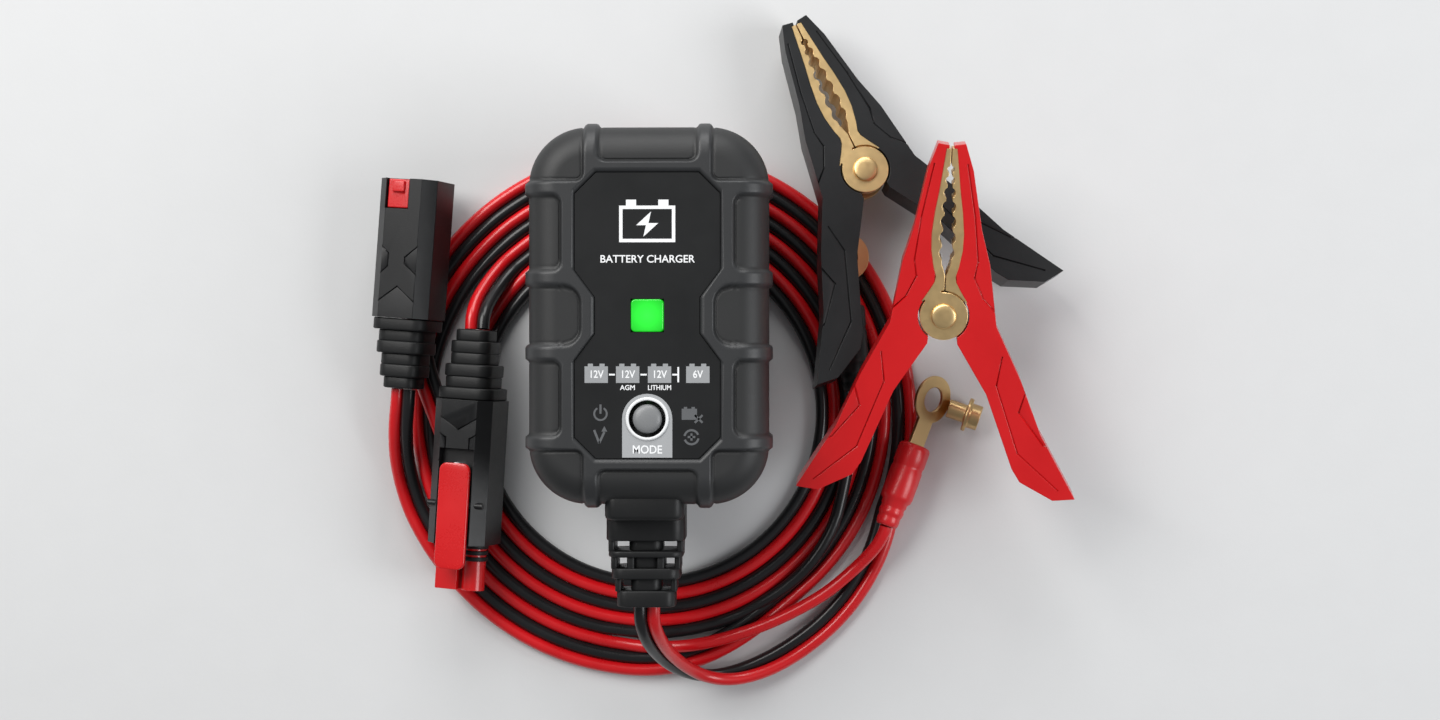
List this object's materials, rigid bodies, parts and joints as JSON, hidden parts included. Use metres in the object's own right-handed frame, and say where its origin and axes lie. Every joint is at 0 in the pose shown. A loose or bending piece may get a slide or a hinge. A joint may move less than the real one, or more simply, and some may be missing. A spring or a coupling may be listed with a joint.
{
  "type": "car battery charger",
  "caption": "Plug-in car battery charger with mode button, coiled two-core leads, a latching connector pair, ring terminals and red and black spring clamps.",
  "frame": {"origin": "centre of the housing seen from the front, on the surface that the blade tips touch", "axes": "+Z out of the housing's face, away from the blades; +Y from the lead's outlet towards the housing's other end; +X to the right seen from the front"},
  "size_m": [0.1748, 0.1692, 0.0506],
  "materials": {
    "shell": "fine matt",
    "gasket": "matt",
    "steel": "satin",
    "panel": "matt",
    "lens": "frosted",
    "button": "satin",
    "bezel": "satin",
    "switch": "matt",
    "led": "clear",
    "board": "satin",
    "ferrite": "matt",
    "copper": "enamelled",
    "capacitor": "satin",
    "aluminium": "extruded",
    "ceramic": "matt",
    "brass": "satin",
    "black_rubber": "matt",
    "red_rubber": "satin",
    "coil": "satin",
    "red_wire": "satin",
    "black_wire": "satin",
    "black_plastic": "satin",
    "red_plastic": "satin"
  },
  "bodies": {
    "charger": {"front_shell": "shell", "back_shell": "shell", "shell_gasket": "gasket", "housing_screws": "steel", "front_panel": "panel", "led_lens": "lens", "button_bezel": "bezel", "button_spring": "steel", "mode_switch": "switch", "indicator_leds": "led", "circuit_board": "board", "transformer_core": "ferrite", "transformer_winding": "copper", "mains_capacitor": "capacitor", "output_capacitor": "capacitor", "heatsink": "aluminium", "power_transistor": "switch", "bridge_rectifier": "switch", "mains_fuse": "ceramic", "blade_carrier": "ceramic", "plug_blades": "brass", "strain_relief": "black_rubber", "lead_coil": "coil", "charger_lead_red": "red_wire", "charger_lead_black": "black_wire", "clamp_lead_red": "red_wire", "clamp_lead_black": "black_wire", "plug_body": "black_plastic", "plug_boot": "black_rubber", "plug_nose": "red_plastic", "plug_seal": "black_rubber", "plug_contacts": "brass", "plug_lever_pin": "steel", "plug_lever_spring": "steel", "socket_body": "black_plastic", "socket_boot": "black_rubber", "socket_catch": "red_plastic", "socket_contacts": "brass", "red_terminal": "brass", "red_terminal_boot": "red_rubber", "black_terminal": "brass", "black_terminal_boot": "black_rubber", "red_terminal_screw": "brass", "black_terminal_screw": "brass", "red_clamp_fixed_lever": "red_plastic", "red_clamp_fixed_jaw": "brass", "red_clamp_rivet": "brass", "red_clamp_spring": "steel", "black_clamp_fixed_lever": "black_plastic", "black_clamp_fixed_jaw": "brass", "black_clamp_rivet": "brass", "black_clamp_spring": "steel"},
    "mode_button": {"mode_button": "button"},
    "plug_lever": {"plug_lever": "red_plastic"},
    "red_clamp_jaw": {"red_clamp_moving_lever": "red_plastic", "red_clamp_moving_jaw": "brass"},
    "black_clamp_jaw": {"black_clamp_moving_lever": "black_plastic", "black_clamp_moving_jaw": "brass"}
  },
  "joints": [
    {"name": "mode_button_press", "type": "slide", "parent": "charger", "child": "mode_button", "axis": [0, 0, -1], "range_m": [0, 0.0005], "stiffness_N_per_m": 300, "springref_m": -0.001, "deforming": ["button_spring"]},
    {"name": "plug_lever_press", "type": "hinge", "parent": "charger", "child": "plug_lever", "pos_m": [-0.04963, -0.04671, 0.01924], "axis": [-0.9595, 0.0587, -0.2756], "range_deg": [0, 6], "stiffness_Nm_per_rad": 0.05, "springref_deg": -5.73, "deforming": ["plug_lever_spring"]},
    {"name": "red_clamp_open", "type": "hinge", "parent": "charger", "child": "red_clamp_jaw", "pos_m": [0.07095, 0.0008, 0.0286], "axis": [0.0517, 0.1564, -0.9863], "range_deg": [0, 28], "stiffness_Nm_per_rad": 0.8, "springref_deg": -22.92},
    {"name": "black_clamp_open", "type": "hinge", "parent": "charger", "child": "black_clamp_jaw", "pos_m": [0.05205, 0.0361, 0.0129], "axis": [-0.0779, -0.1201, -0.9897], "range_deg": [0, 28], "stiffness_Nm_per_rad": 0.8, "springref_deg": -22.92}
  ]
}
